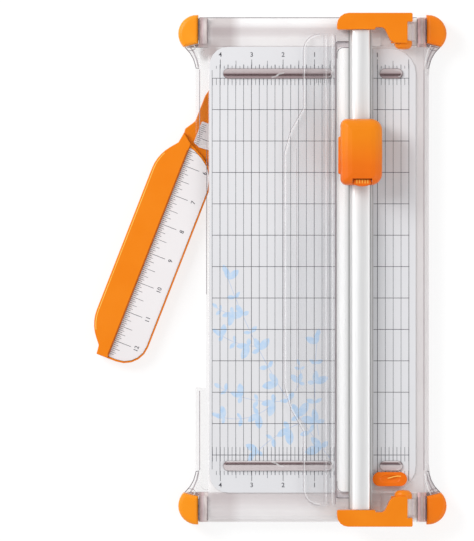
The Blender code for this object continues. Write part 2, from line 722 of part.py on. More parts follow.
def make_arm(arm_empty, orange, white):
    tray = extrude(arm_points(arm_outline()), ARM_LOW, TRAY_TOP, top_round=0.5, low_round=0.5, segments=1)
    arm = make_object("arm_body", tray, orange, arm_empty)
    grip = rounded(grip_side(0.1) + [(ARM_TIP - 0.1, 21.3, 0.5), (44.6, 21.3, 0.5)], 5)
    tongue = rounded([(-8.0, -6.0, 7), (-8.0, 22.0, 9), (4.0, 24.6, 0), (26.0, 24.6, 6), (34.6, 30.0, 1.5),
                      (42.0, 29.0, 0), (66.0, 10.0, 0), (66.0, -4.0, 0), (12.0, -9.0, 12)], 4)
    unite(arm, [extrude(arm_points(grip), 8.0, GRIP_TOP, top_round=1.2, segments=3),
                extrude(arm_points(tongue), ARM_LOW + 0.01, TONGUE_TOP, top_round=0.6, segments=2)])
    recess = extrude(arm_points(ruler_outline(0.3)), 10.4, 30)
    underside = rounded([(78.0, 40.6, 8), (193.0, 40.6, 14), (211.0, 36.4, 14), (226.0, 27.0, 6),
                         (226.0, -3.4, 15), (78.0, -3.4, 6)], 4)
    cut(arm, [recess, extrude(arm_points(underside), 0, 8.0),
              turned([(2.2, 0), (2.2, 20)], ARM_PIVOT, steps=20)])
    make_object("arm_ruler_long", extrude(arm_points(ruler_outline(0)), 10.7, 12.2), white, arm_empty)
    short = rounded([(24.0, 19.4, 1), (24.0, 4.0, 1.5), (43.8, 4.0, 1.5), (44.6, 14.0, 3),
                     (42.4, 19.4, 1)], 3)
    make_object("arm_ruler_short", extrude(arm_points(short), TONGUE_TOP + GAP, 9.7), white, arm_empty)


def make_arm_pivot(root, steel, white):
    screw = turned([(3.4, 1.0), (4.4, 1.4), (4.4, 2.2), (1.8, 2.2), (1.8, 13.6), (0, 14.4)], ARM_PIVOT,
                   steps=18)
    make_object("arm_pivot_screw", screw, steel, root)
    make_object("arm_washer", pipe(6.5, 2.2, 2.5, 3.2, ARM_PIVOT, steps=20), white, root)


# ---------------------------------------------------------------- whole object

def main():
    for old in list(bpy.data.objects):
        bpy.data.objects.remove(old)

    orange = material("orange_gloss_plastic", (247, 136, 31), 0.28)
    clear = material("clear_plastic", (225, 222, 224), 0.08, alpha=0.4)
    mat_white = material("printed_mat", (230, 231, 235), 0.5)
    strip_white = material("cutting_strip_plastic", (249, 249, 251), 0.45)
    ruler_white = material("ruler_plastic", (238, 234, 235), 0.45)
    nylon = material("white_nylon", (235, 235, 232), 0.5)
    aluminium = material("satin_aluminium", (228, 229, 231), 0.32, metallic=1.0)
    steel = material("steel", (170, 172, 176), 0.3, metallic=1.0)
    dark_steel = material("dark_steel", (105, 107, 112), 0.4, metallic=1.0)
    rubber = material("grey_rubber", (120, 120, 122), 0.85)

    root = bpy.data.objects.new("trimmer_frame", None)
    bpy.context.collection.objects.link(root)
    root.location = (FRAME_X * MM, 0, 0)
    rail_empty = joint_empty("rail_lift_axis", root, (HINGE_X, 0, HINGE_Z))
    slide_empty = joint_empty("carriage_slide_frame", rail_empty, (RAIL_CENTRE, CARRIAGE_Y, RAIL_TOP))
    press_empty = joint_empty("blade_press_frame", slide_empty, (RAIL_CENTRE, CARRIAGE_Y, COVER_TOP))
    spin_empty = joint_empty("blade_spin_axis", press_empty, (CUT_LINE, CARRIAGE_Y, BLADE_CENTRE_Z))
    button_empty = joint_empty("release_button_frame", press_empty, (39.7, 70.5, 50.2))
    lock_empty = joint_empty("rail_lock_frame", root, (62.5, LOCK_Y, LOCK_TOP))
    arm_empty = joint_empty("arm_swing_axis", root, (ARM_PIVOT[0], ARM_PIVOT[1], ARM_LOW))

    make_base(root, clear)
    make_corner_caps(root, orange)
    make_foot_pads(root, rubber)
    make_mats(root, mat_white)
    make_cutting_strip(root, strip_white)
    make_hinge_pins(root, steel)
    make_arm_pivot(root, steel, nylon)

    make_rail(rail_empty, aluminium)
    make_bracket("bracket_front", -1, 9.0, rail_empty, orange)
    make_bracket("bracket_rear", 1, 9.5, rail_empty, orange)
    make_bracket_screws(rail_empty, dark_steel)
    make_guard(rail_empty, clear)
    make_guard_screws(rail_empty, dark_steel)

    make_shoe(slide_empty, nylon)
    make_press_springs(slide_empty, steel)
    make_cover(press_empty, orange)
    make_blade_holder(press_empty, nylon)
    make_blade(press_empty, spin_empty, steel, dark_steel)
    make_release_button(button_empty, orange)

    make_lock(lock_empty, orange, nylon, dark_steel)
    make_arm(arm_empty, orange, ruler_white)


main()
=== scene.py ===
"""Looks for the rotary paper trimmer: plastics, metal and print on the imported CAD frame.

Sizes are millimetres in the base's own frame, as in the CAD: X right, Y to the rear, Z up, with the
base's centre at X = 0, Y = 0.  put() turns them into metres in the row frame.
"""

import math

import bmesh
import bpy
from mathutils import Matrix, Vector


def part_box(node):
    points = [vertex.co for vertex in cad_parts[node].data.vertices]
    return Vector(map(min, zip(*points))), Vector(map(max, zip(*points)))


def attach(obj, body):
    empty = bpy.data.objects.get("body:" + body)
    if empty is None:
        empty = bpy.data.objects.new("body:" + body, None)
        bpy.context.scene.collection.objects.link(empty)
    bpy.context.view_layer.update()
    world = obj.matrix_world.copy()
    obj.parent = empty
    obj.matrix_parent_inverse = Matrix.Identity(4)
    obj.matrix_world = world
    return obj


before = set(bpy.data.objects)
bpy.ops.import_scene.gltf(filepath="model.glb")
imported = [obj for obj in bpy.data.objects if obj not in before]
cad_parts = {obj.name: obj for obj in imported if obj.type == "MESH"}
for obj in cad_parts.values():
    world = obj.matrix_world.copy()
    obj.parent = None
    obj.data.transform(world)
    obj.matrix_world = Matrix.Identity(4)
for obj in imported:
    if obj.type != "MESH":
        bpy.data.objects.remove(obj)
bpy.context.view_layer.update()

MM = 0.001
INCH = 25.4
STRIP_CENTRE = 26.8
CUT_LINE = 27.06
PAPER_LINE = 154.94
ARM_PIVOT = Vector((-62.6, 135.7))
ARM_ANGLE = math.radians(21.3)
ALONG = Vector((-math.sin(ARM_ANGLE), -math.cos(ARM_ANGLE)))
ACROSS = Vector((-math.cos(ARM_ANGLE), math.sin(ARM_ANGLE)))


def top_of(node):
    """The height of a CAD node's highest point."""
    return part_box(node)[1].z / MM


strip_low, strip_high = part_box("cutting_strip")
FRAME_X = (strip_low.x + strip_high.x) / 2 / MM - STRIP_CENTRE
MAT_TOP = top_of("mat_left")
STRIP_TOP = top_of("cutting_strip")
GUARD_TOP = top_of("paper_guard")
ARM_TOP = top_of("arm_body")
LONG_RULER_TOP = top_of("arm_ruler_long")
SHORT_RULER_TOP = top_of("arm_ruler_short")
BASE_TOP = 18.0
CHANNEL_FLOOR = 17.0
LEDGE_TOP = 20.5
RIB_TOP = 21.2
FLARE_TOP = 16.2
RIM_HEIGHT = 19.72
PRINT_SUNK = 0.02
PRINT_PROUD = 0.05
PRINT_STEP = 0.01
RIBBON_SUNK = 0.1
RIBBON_PROUD = 0.06
SHARP_ANGLE = 32


# ---------------------------------------------------------------- places and outlines

def put(x, y, z):
    """Millimetres of the base's frame to metres of the row frame."""
    return Vector(((x + FRAME_X) * MM, y * MM, z * MM))


def on_arm(s, t):
    """A point of the swing arm at rest: s out along it, t towards its grip."""
    point = ARM_PIVOT + ALONG * s + ACROSS * t
    return point.x, point.y


def arc(centre, radius, start, end, steps):
    """Points along an arc; the angles are degrees from +X towards +Y."""
    points = []
    for step in range(steps + 1):
        angle = math.radians(start + (end - start) * step / steps)
        points.append((centre[0] + radius * math.cos(angle), centre[1] + radius * math.sin(angle)))
    return points


def rounded(corners, steps):
    """Round off each corner (x, y, radius) of a polygon; a radius of 0 keeps the corner."""
    outline = []
    for index, (x, y, radius) in enumerate(corners):
        here = Vector((x, y))
        if radius <= 0:
            outline.append((x, y))
            continue
        before = (Vector(corners[index - 1][:2]) - here).normalized()
        after = (Vector(corners[(index + 1) % len(corners)][:2]) - here).normalized()
        half = before.angle(after) / 2
        centre = here + (before + after).normalized() * (radius / math.sin(half))
        first = here + before * (radius / math.tan(half)) - centre
        last = here + after * (radius / math.tan(half)) - centre
        start = math.degrees(math.atan2(first.y, first.x))
        turn = (math.degrees(math.atan2(last.y, last.x)) - start + 180) % 360 - 180
        outline += arc(centre, radius, start, start + turn, steps)
    return outline


def slab(mesh, outline, low, high):
    """Add a thin closed slab with this outline to a mesh."""
    lower = [mesh.verts.new(put(x, y, low)) for x, y in outline]
    upper = [mesh.verts.new(put(x, y, high)) for x, y in outline]
    faces = [mesh.faces.new(upper), mesh.faces.new(lower[::-1])]
    for index in range(len(outline)):
        following = (index + 1) % len(outline)
        faces.append(mesh.faces.new([lower[index], lower[following], upper[following], upper[index]]))
    bmesh.ops.recalc_face_normals(mesh, faces=faces)


def bar(mesh, start, end, width, low, high):
    """Add a printed line from start to end."""
    start, end = Vector(start), Vector(end)
    side = (end - start).normalized().orthogonal() * (width / 2)
    slab(mesh, [tuple(start + side), tuple(end + side), tuple(end - side), tuple(start - side)], low, high)


def ribbon(mesh, path, width, closed=False):
    """Add a fine raised line that follows a path of (x, y, z) points."""
    points = [Vector(point) for point in path]
    section = ((1, -RIBBON_SUNK), (-1, -RIBBON_SUNK), (-1, RIBBON_PROUD), (1, RIBBON_PROUD))
    rows = []
    for index, point in enumerate(points):
        before = points[index - 1] if index or closed else point
        after = points[(index + 1) % len(points)] if index + 1 < len(points) or closed else point
        course = (after.xy - before.xy).normalized()
        side = Vector((-course.y, course.x)) * (width / 2)
        rows.append([mesh.verts.new(put(point.x + sign * side.x, point.y + sign * side.y, point.z + rise))
                     for sign, rise in section])
    faces = []
    for first, second in list(zip(rows, rows[1:])) + ([(rows[-1], rows[0])] if closed else []):
        for corner in range(4):
            following = (corner + 1) % 4
            faces.append(mesh.faces.new([first[corner], second[corner], second[following], first[following]]))
    if not closed:
        faces += [mesh.faces.new(rows[0]), mesh.faces.new(rows[-1][::-1])]
    bmesh.ops.recalc_face_normals(mesh, faces=faces)


def inset_path(outline, distance):
    """An open path of (x, y) points moved to its right by a distance."""
    points = [Vector(point) for point in outline]
    moved = []
    for index, point in enumerate(points):
        before = points[max(index - 1, 0)]
        after = points[min(index + 1, len(points) - 1)]
        course = (after - before).normalized()
        moved.append(point + Vector((course.y, -course.x)) * distance)
    return moved


def piece(name, mesh, look, body):
    """Turn a mesh into a shown piece that rides on a body."""
    data = bpy.data.meshes.new(name)
    mesh.to_mesh(data)
    mesh.free()
    data.shade_smooth()
    data.set_sharp_from_angle(angle=math.radians(SHARP_ANGLE))
    data.materials.append(look)
    made = bpy.data.objects.new(name, data)
    bpy.context.scene.collection.objects.link(made)
    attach(made, body)


def add_text(mesh, words, size, middle, right, low, high):
    """Add numerals, centred on a point, that read along the direction `right`."""
    curve = bpy.data.curves.new("numerals", "FONT")
    curve.body = words
    curve.size = size
    curve.align_x = "CENTER"
    curve.align_y = "CENTER"
    curve.resolution_u = 3
    curve.offset = size * 0.012
    curve.extrude = (high - low) / 2
    holder = bpy.data.objects.new("numerals", curve)
    bpy.context.scene.collection.objects.link(holder)
    bpy.context.view_layer.update()
    evaluated = holder.evaluated_get(bpy.context.evaluated_depsgraph_get())
    flat = evaluated.to_mesh()
    right = Vector(right).normalized()
    up = Vector((-right.y, right.x))
    corners = []
    for vertex in flat.vertices:
        place = Vector(middle) + right * vertex.co.x + up * vertex.co.y
        corners.append(mesh.verts.new(put(place.x, place.y, (low + high) / 2 + vertex.co.z)))
    for polygon in flat.polygons:
        mesh.faces.new([corners[i] for i in polygon.vertices])
    evaluated.to_mesh_clear()
    bpy.data.objects.remove(holder)
    bpy.data.curves.remove(curve)


# ---------------------------------------------------------------- materials

def linear(channel):
    """One sRGB channel, 0 to 255, as a linear value."""
    value = channel / 255
    if value <= 0.04045:
        return value / 12.92
    return ((value + 0.055) / 1.055) ** 2.4


def colour(rgb, gain=1.0):
    """An sRGB colour, 0 to 255, as a linear one, made brighter or darker by a gain."""
    return [linear(channel) * gain for channel in rgb] + [1.0]


def tint(red, green, blue):
    """A linear colour, mostly for multiplying another one."""
    return [red, green, blue, 1.0]


def grey_tint(value):
    return tint(value, value, value)


WHITE = grey_tint(1.0)


class Look:
    """A Principled material with short calls for its nodes."""

    def __init__(self, name):
        self.material = bpy.data.materials.new(name)
        self.material.use_nodes = True
        self.tree = self.material.node_tree
        self.shader = self.tree.nodes["Principled BSDF"]
        self.place = self.node("ShaderNodeTexCoord").outputs["Object"]

    def node(self, kind, **settings):
        made = self.tree.nodes.new(kind)
        for key, value in settings.items():
            setattr(made, key, value)
        return made

    def link(self, source, target):
        self.tree.links.new(source, target)

    def feed(self, name, source):
        """Link a source to one of the shader's sockets."""
        self.link(source, self.shader.inputs[name])

    def socket(self, name, value):
        """Set one of the shader's sockets to a uniform value."""
        self.shader.inputs[name].default_value = value

    def noise(self, scale, detail=3.0, stretch=(1, 1, 1)):
        mapping = self.node("ShaderNodeMapping")
        mapping.inputs["Scale"].default_value = stretch
        self.link(self.place, mapping.inputs["Vector"])
        made = self.node("ShaderNodeTexNoise")
        made.inputs["Scale"].default_value = scale
        made.inputs["Detail"].default_value = detail
        self.link(mapping.outputs["Vector"], made.inputs["Vector"])
        return made.outputs["Fac"]

    def ramp(self, factor, stops):
        """A colour ramp; a stop is (position, colour)."""
        made = self.node("ShaderNodeValToRGB")
        band = made.color_ramp
        while len(band.elements) < len(stops):
            band.elements.new(0.5)
        for element, (position, value) in zip(band.elements, stops):
            element.position = position
            element.color = value
        self.link(factor, made.inputs["Fac"])
        return made.outputs["Color"]

    def spread(self, factor, low, high, from_low=0.3, from_high=0.7):
        """Low to high as the factor goes over its own range, and level outside it."""
        made = self.node("ShaderNodeMapRange")
        made.inputs["From Min"].default_value = from_low
        made.inputs["From Max"].default_value = from_high
        made.inputs["To Min"].default_value = low
        made.inputs["To Max"].default_value = high
        self.link(factor, made.inputs["Value"])
        return made.outputs["Result"]

    def maths(self, operation, first, second=0.0):
        made = self.node("ShaderNodeMath", operation=operation)
        for index, value in enumerate((first, second)):
            if isinstance(value, (int, float)):
                made.inputs[index].default_value = value
            else:
                self.link(value, made.inputs[index])
        return made.outputs["Value"]

    def both(self, first, second):
        """The product of two masks, or of a mask and a number."""
        return self.maths("MULTIPLY", first, second)

    def axis(self, letter):
        """The place along an axis of the row frame, in metres."""
        made = self.node("ShaderNodeSeparateXYZ")
        self.link(self.place, made.inputs["Vector"])
        return made.outputs[letter]

    def blend(self, factor, first, second, mode="MIX"):
        made = self.node("ShaderNodeMix", data_type="RGBA", blend_type=mode)
        sockets = (made.inputs[0], made.inputs[6], made.inputs[7])
        for socket, value in zip(sockets, (factor, first, second)):
            if isinstance(value, (int, float, list)):
                socket.default_value = value
            else:
                self.link(value, socket)
        return made.outputs[2]

    def facing(self, blend):
        made = self.node("ShaderNodeLayerWeight")
        made.inputs["Blend"].default_value = blend
        return made.outputs["Facing"]

    def gloss(self, scale, detail, rough):
        """Roughness that wanders between two values."""
        self.feed("Roughness", self.spread(self.noise(scale, detail), *rough))

    def bump(self, height, strength, distance):
        made = self.node("ShaderNodeBump")
        made.inputs["Strength"].default_value = strength
        made.inputs["Distance"].default_value = distance
        self.link(height, made.inputs["Height"])
        self.feed("Normal", made.outputs["Normal"])


def shift_of(axis):
    """How far the base's own frame lies from the row frame along an axis, in millimetres."""
    return FRAME_X if axis == "X" else 0.0


def mask(look, axis, low, high, soft=0.1):
    """1 between two places along an axis in the base's frame, 0 outside."""
    shift = shift_of(axis)
    place = look.axis(axis)
    rise = look.spread(place, 0, 1, (low + shift - soft) * MM, (low + shift + soft) * MM)
    fall = look.spread(place, 1, 0, (high + shift - soft) * MM, (high + shift + soft) * MM)
    return look.both(rise, fall)


def along(look, axis, stops, gain=1.0):
    """A colour ramp with stops in millimetres of the base's frame; a stop is (place, grey or rgb)."""
    shift = shift_of(axis)
    low, high = stops[0][0], stops[-1][0]
    factor = look.spread(look.axis(axis), 0, 1, (low + shift) * MM, (high + shift) * MM)
    parts = [((at - low) / (high - low), colour(tone if isinstance(tone, tuple) else (tone,) * 3, gain))
             for at, tone in stops]
    return look.ramp(factor, parts)


def pinkish(grey):
    """The faint warm cast of the clear plastic, deeper where it is darker."""
    cast = (255 - grey) * 0.16
    return (grey, grey - cast, grey - cast * 0.9)


def pinkish_along(look, axis, stops):
    """Stops of grey along an axis, each with the clear plastic's cast."""
    return along(look, axis, [(at, pinkish(grey)) for at, grey in stops])


# The clear base's greys in millimetres along Y, for its end bars and paper ledges, and along X: painted shade
# and painted highlight for the curve of the end bars, painted shade for the ledges' slots and shadows, and
# dark painted lines at the walls.
REAR_BAR_PAINTED_SHADING = [(180.2, 240), (180.7, 214), (181.3, 240), (183, 238), (187, 236), (190, 221), (193, 212),
            (195.2, 216), (197.6, 236), (199.5, 244), (202.6, 248), (203.4, 242), (204.6, 236)]
FRONT_BAR_PAINTED_SHADING = [(-205, 226), (-204.2, 236), (-203.2, 236), (-202.4, 238), (-201.6, 243), (-198, 238),
             (-196, 238), (-193, 232), (-189, 221), (-185, 212), (-182, 211), (-181.2, 216), (-180.2, 238)]
REAR_LEDGE_PAINTED_SHADE = [(154.6, 150), (156.0, 146), (156.6, 126), (157.2, 94), (158.2, 92), (158.8, 148),
              (159.4, 172), (160.8, 184), (162.6, 192)]
FRONT_LEDGE_PAINTED_SHADE = [(-162.6, 197), (-160.0, 196), (-158.4, 198), (-157.8, 178), (-157.3, 112), (-156.2, 106),
               (-155.6, 168), (-155.1, 224), (-154.6, 226)]
SIDES = [(-95, 190), (-94.2, 200), (-93.2, 120), (-86, 96), (-85, 96), (-84.4, 150), (-84, 244),
         (60, 232), (83.4, 226), (84.2, 221), (89.4, 219), (90.0, 205), (90.5, 207), (91.0, 220),
         (93.6, 229), (94.5, 214)]
# The colours along X across the hinge end and the ribs of each end bar: painted shade beside the bracket at
# the hinge end, and painted light and shade lines where the ribs bend the light.
HINGE = [(76.6, (225, 208, 200)), (78.6, (225, 213, 208)), (80.1, (226, 219, 214)),
         (81.1, (238, 231, 236)), (82.4, (254, 252, 249)), (84.6, (254, 252, 250))]
RIGHT_RIBS = [(84.3, (190, 176, 174)), (84.9, (200, 184, 182)), (85.7, (247, 216, 218)),
              (86.5, (226, 192, 195)), (87.3, (208, 178, 177)), (88.2, (196, 170, 166)),
              (89.0, (206, 182, 173)), (89.8, (194, 165, 157)), (90.6, (206, 170, 170)),
              (91.5, (205, 147, 130))]
LEFT_RIBS = [(-91.9, (196, 148, 140)), (-91.3, (176, 148, 142)), (-90.9, (172, 148, 143)),
             (-90.1, (186, 165, 162)), (-89.3, (196, 170, 172)), (-88.4, (200, 176, 177)),
             (-87.6, (212, 200, 198)), (-86.6, (222, 212, 209)), (-85.9, (232, 220, 216)),
             (-85.2, (196, 184, 182)), (-84.3, (240, 228, 226))]
END_GREY = 170
RIBS_FROM = 84.4
RIBS_TO = 92.0
FAR = 300.0


def base_zones(look):
    """Where the clear base changes: masks that go from 0 to 1."""
    width = look.maths("ABSOLUTE", look.maths("SUBTRACT", look.axis("X"), FRAME_X * MM))
    depth = look.maths("ABSOLUTE", look.axis("Y"))
    # Zones for painted shade beside the left ribs of each end bar and at the rear left shoulder, and for
    # painted light by the strip at the rear.
    shade_beside_ribs = mask(look, "X", -RIBS_FROM, -62.0, 4.5)
    zones = {"rear": mask(look, "Y", REAR_BAR_PAINTED_SHADING[0][0], FAR), "front": mask(look, "Y", -FAR, FRONT_BAR_PAINTED_SHADING[-1][0])}
    zones["end"] = look.maths("ADD", zones["rear"], zones["front"])
    zones["hinge"] = look.both(mask(look, "X", HINGE[0][0], HINGE[-1][0]), zones["end"])
    zones["rib"] = look.both(zones["end"], look.spread(width, 0, 1, 84.3 * MM, 84.6 * MM))
    zones["right_rib"] = look.both(zones["rib"], mask(look, "X", RIBS_FROM, RIBS_TO))
    zones["left_rib"] = look.both(zones["rib"], mask(look, "X", -RIBS_TO, -RIBS_FROM))
    zones["beside_rear_ribs"] = look.both(shade_beside_ribs, zones["rear"])
    zones["beside_front_ribs"] = look.both(shade_beside_ribs, zones["front"])
    zones["shoulder_shade"] = look.both(mask(look, "X", -89.5, -76.0, 2.8), mask(look, "Y", 171.0, 182.5, 3.6))
    zones["by_strip"] = look.both(mask(look, "X", 2.0, 18.4, 2.0), mask(look, "Y", 179.0, 190.0, 2.0))
    zones["ledge"] = look.both(mask(look, "Z", BASE_TOP + 0.2, FAR, 0.05),
                               look.spread(depth, 1, 0, 166 * MM, 170 * MM))
    zones["front_ledge"] = look.both(zones["ledge"], mask(look, "Y", -170.0, -150.0))
    zones["channel"] = look.both(mask(look, "Z", CHANNEL_FLOOR - 0.3, CHANNEL_FLOOR + 0.3, 0.05),
                                 mask(look, "X", 18.2, 35.4, 0.05))
    return zones


def base_tone(look, zones):
    """The clear base's colour, laid on zone by zone, mostly painted shade and painted highlight."""
    tone = pinkish_along(look, "X", SIDES)
    for zone, over in (("rear", pinkish_along(look, "Y", REAR_BAR_PAINTED_SHADING)),
                       ("front", pinkish_along(look, "Y", FRONT_BAR_PAINTED_SHADING)),
                       ("hinge", along(look, "X", HINGE)),
                       ("rib", colour(pinkish(END_GREY))),
                       ("right_rib", along(look, "X", RIGHT_RIBS)),
                       ("left_rib", along(look, "X", LEFT_RIBS))):
        tone = look.blend(zones[zone], tone, over)
    in_ribs = look.maths("ADD", zones["left_rib"], zones["right_rib"])
    # Painted glints along the ribs; then painted shade beside the left ribs and at the rear left shoulder,
    # and painted light by the strip.
    glints = look.ramp(look.noise(70, 3.0, (3.2, 1.1, 1)),
                       [(0.36, tint(0.74, 0.7, 0.71)), (0.64, tint(1.22, 1.24, 1.24))])
    tone = look.blend(look.both(in_ribs, 0.8), tone, glints, "MULTIPLY")
    tone = look.blend(zones["beside_rear_ribs"], tone, tint(0.7, 0.655, 0.65), "MULTIPLY")
    tone = look.blend(zones["beside_front_ribs"], tone, tint(0.84, 0.81, 0.81), "MULTIPLY")
    tone = look.blend(zones["shoulder_shade"], tone, colour((182, 169, 168)))
    tone = look.blend(zones["by_strip"], tone, tint(1.12, 1.13, 1.13), "MULTIPLY")
    tone = look.blend(zones["ledge"], tone, pinkish_along(look, "Y", REAR_LEDGE_PAINTED_SHADE))
    tone = look.blend(zones["front_ledge"], tone, pinkish_along(look, "Y", FRONT_LEDGE_PAINTED_SHADE))
    tone = look.blend(zones["channel"], tone, colour((222, 215, 218)))
    cloud = look.ramp(look.noise(26, 2.0), [(0.35, tint(0.955, 0.945, 0.95)), (0.65, WHITE)])
    return look.blend(1.0, tone, cloud, "MULTIPLY")


def clear_base_look():
    """Clear moulded plastic: deeper down the end bars, the right wall, the ledges and the channel, where
    painted shade and painted highlight are laid into its colour.
    """
    look = Look("clear_moulded_plastic")
    zones = base_zones(look)
    look.feed("Base Color", base_tone(look, zones))
    left_wall = (-84.2 + FRAME_X) * MM
    thick = look.spread(look.axis("X"), 0.05, 0.62, left_wall, left_wall + 0.8 * MM)
    for zone, opacity in (("end", 0.72), ("ledge", 0.9), ("channel", 0.9), ("shoulder_shade", 0.52)):
        thick = look.maths("MAXIMUM", thick, look.both(zones[zone], opacity))
    alpha = look.maths("ADD", thick, look.spread(look.facing(0.35), 0.0, 0.4, 0.35, 1.0))
    look.feed("Alpha", look.maths("MINIMUM", alpha, 0.95))
    look.gloss(70, 3.0, (0.1, 0.2))
    look.socket("Specular IOR Level", 0.4)
    look.bump(look.noise(45, 2.0), 0.1, 0.0002)
    return look.material


def clear_guard_look():
    """The guard's thin clear plastic: faintly smoky over the mat, clearest over the cutting strip."""
    look = Look("clear_guard_plastic")
    look.feed("Base Color", look.ramp(look.noise(30, 2.0), [(0.3, colour((176, 176, 181))),
                                                            (0.7, colour((188, 188, 193)))]))
    edge = look.spread(look.facing(0.3), 0.0, 0.5, 0.3, 0.92)
    width = look.spread(look.axis("X"), 0, 1, (-24 + FRAME_X) * MM, (27 + FRAME_X) * MM)
    body = look.ramp(width, [(position, grey_tint(value)) for position, value in
                             ((0.0, 0.006), (0.2, 0.006), (0.22, 0.036), (0.7, 0.032), (0.76, 0.012),
                              (0.85, 0.004))])
    look.feed("Alpha", look.maths("ADD", body, edge))
    look.gloss(60, 3.0, (0.06, 0.14))
    look.socket("Specular IOR Level", 0.5)
    look.bump(look.noise(18, 1.0), 0.08, 0.0004)
    return look.material


def moulded(name, rgb, other, rough=(0.28, 0.36), gain=0.86):
    """Moulded plastic: slow colour drift, fine surface grain, uneven gloss."""
    look = Look(name)
    look.feed("Base Color", look.ramp(look.noise(38), [(0.36, colour(rgb, gain)),
                                                       (0.66, colour(other, gain))]))
    look.gloss(110, 4.0, rough)
    look.socket("Specular IOR Level", 0.2)
    look.bump(look.noise(900, 2.0), 0.25, 0.00002)
    return look.material


def cover_look():
    """The casing's orange, redder towards the release button."""
    look = Look("orange_cover_plastic")
    low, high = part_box("carriage_cover")
    place = look.spread(look.axis("Y"), 0, 1, low.y, high.y)
    tone = look.ramp(place, [(0.0, colour((245, 114, 12), 0.81)), (0.3, colour((245, 119, 12), 0.81)),
                             (0.72, colour((247, 138, 13), 0.82)), (1.0, colour((248, 142, 14), 0.82))])
    drift = look.ramp(look.noise(38), [(0.36, tint(0.97, 0.96, 0.96)), (0.66, WHITE)])
    look.feed("Base Color", look.blend(1.0, tone, drift, "MULTIPLY"))
    look.gloss(110, 4.0, (0.34, 0.42))
    look.socket("Specular IOR Level", 0.2)
    look.bump(look.noise(900, 2.0), 0.25, 0.00002)
    return look.material


def metal(name, rgb, other, rough, stretch, scale):
    """Metal with a drawn or turned grain along one axis."""
    look = Look(name)
    grain = look.noise(scale, 5.0, stretch)
    look.feed("Base Color", look.ramp(grain, [(0.3, colour(rgb)), (0.7, colour(other))]))
    look.feed("Roughness", look.spread(grain, *rough))
    look.socket("Metallic", 1.0)
    look.bump(grain, 0.15, 0.00001)
    return look.material


def rail_look():
    """Satin extruded aluminium whose crown catches the light unevenly across its width, as painted reflection
    bands with painted shade lines at its edges.
    """
    look = Look("satin_extruded_aluminium")
    # Painted reflection and painted shade across the rail's width, in millimetres along X.
    stops = [(29.2, 150), (29.9, 150), (30.2, 214), (31.9, 216), (32.1, 240), (33.6, 250), (35.4, 247),
             (37.2, 234), (39.0, 222), (40.6, 220), (42.5, 226), (44.0, 231), (45.6, 236), (46.0, 220),
             (46.3, 172), (47.4, 204), (48.2, 250)]
    streaks = look.noise(60, 4.0, (60, 0.6, 60))
    drawn = look.ramp(streaks, [(0.35, tint(0.9, 0.9, 0.91)), (0.65, WHITE)])
    look.feed("Base Color", look.blend(0.4, along(look, "X", stops, 1.02), drawn, "MULTIPLY"))
    look.feed("Roughness", look.spread(streaks, 0.32, 0.45))
    look.socket("Metallic", 0.35)
    look.bump(streaks, 0.12, 0.00001)
    return look.material


def sheet_surface(look):
    """The uneven tooth and dull gloss of a printed plastic sheet."""
    look.gloss(220, 3.0, (0.5, 0.6))
    look.socket("Specular IOR Level", 0.25)
    look.bump(look.noise(1400, 2.0), 0.2, 0.00002)


def paper_look(name, rgb, gain=0.86):
    """A pale printed plastic sheet."""
    look = Look(name)
    look.feed("Base Color", look.ramp(look.noise(24, 4.0), [(0.3, colour(rgb, gain * 0.975)),
                                                            (0.7, colour(rgb, gain))]))
    sheet_surface(look)
    return look.material


def cutting_strip_look():
    """The white cutting strip, with painted shade along both edges where the guard and the rail stand over
    it.
    """
    look = Look("cutting_strip_plastic")
    tone = along(look, "X", [(19.6, 206), (20.4, 226), (21.6, 248), (22.6, 253), (24.6, 250), (25.8, 244),
                             (27.0, 233), (28.2, 224), (29.4, 206), (34.0, 200)], 0.99)
    tooth = look.ramp(look.noise(24, 4.0), [(0.3, grey_tint(0.975)), (0.7, WHITE)])
    look.feed("Base Color", look.blend(1.0, tone, tooth, "MULTIPLY"))
    # A faint glow of painted light that brightens the strip.
    look.socket("Emission Color", WHITE)
    look.socket("Emission Strength", 0.08)
    sheet_surface(look)
    return look.material


def edge_look(name, rgb, other, alpha, rough=0.2):
    """A painted line for a moulded edge of clear plastic, where it bends the light most: painted shade when
    dark, painted highlight when light.
    """
    look = Look(name)
    look.feed("Base Color", look.ramp(look.noise(90, 2.0), [(0.35, colour(rgb)), (0.65, colour(other))]))
    look.gloss(240, 2.0, (rough, rough + 0.12))
    look.socket("Alpha", alpha)
    look.socket("Specular IOR Level", 0.4)
    return look.material


def ink_look(name, rgb, other, gain=1.0):
    """Printing ink with slight unevenness in its density."""
    look = Look(name)
    look.feed("Base Color", look.ramp(look.noise(300), [(0.35, colour(rgb, gain)),
                                                        (0.65, colour(other, gain))]))
    look.gloss(500, 2.0, (0.5, 0.65))
    look.socket("Specular IOR Level", 0.2)
    return look.material


def rubber_look():
    look = Look("grey_rubber")
    look.feed("Base Color", look.ramp(look.noise(160, 4.0), [(0.3, colour((96, 96, 99))),
                                                             (0.7, colour((124, 124, 127)))]))
    look.gloss(300, 3.0, (0.75, 0.92))
    look.bump(look.noise(1200), 0.4, 0.00004)
    return look.material


arm_orange = moulded("orange_arm_plastic", (247, 134, 12), (249, 138, 18), gain=0.8)
# One orange in a lit copy for the left caps and a shaded copy for the right ones: painted light and painted
# shade.
left_cap_orange_lit = moulded("orange_left_cap_lit_plastic", (254, 152, 24), (252, 160, 36), gain=0.84)
right_cap_orange_shaded = moulded("orange_right_cap_shaded_plastic", (247, 125, 14), (246, 132, 22), gain=0.83)
bracket_orange = moulded("orange_bracket_plastic", (241, 131, 12), (245, 138, 20))
cover_orange = cover_look()
knob_orange = moulded("orange_knob_plastic", (238, 110, 12), (242, 118, 18))
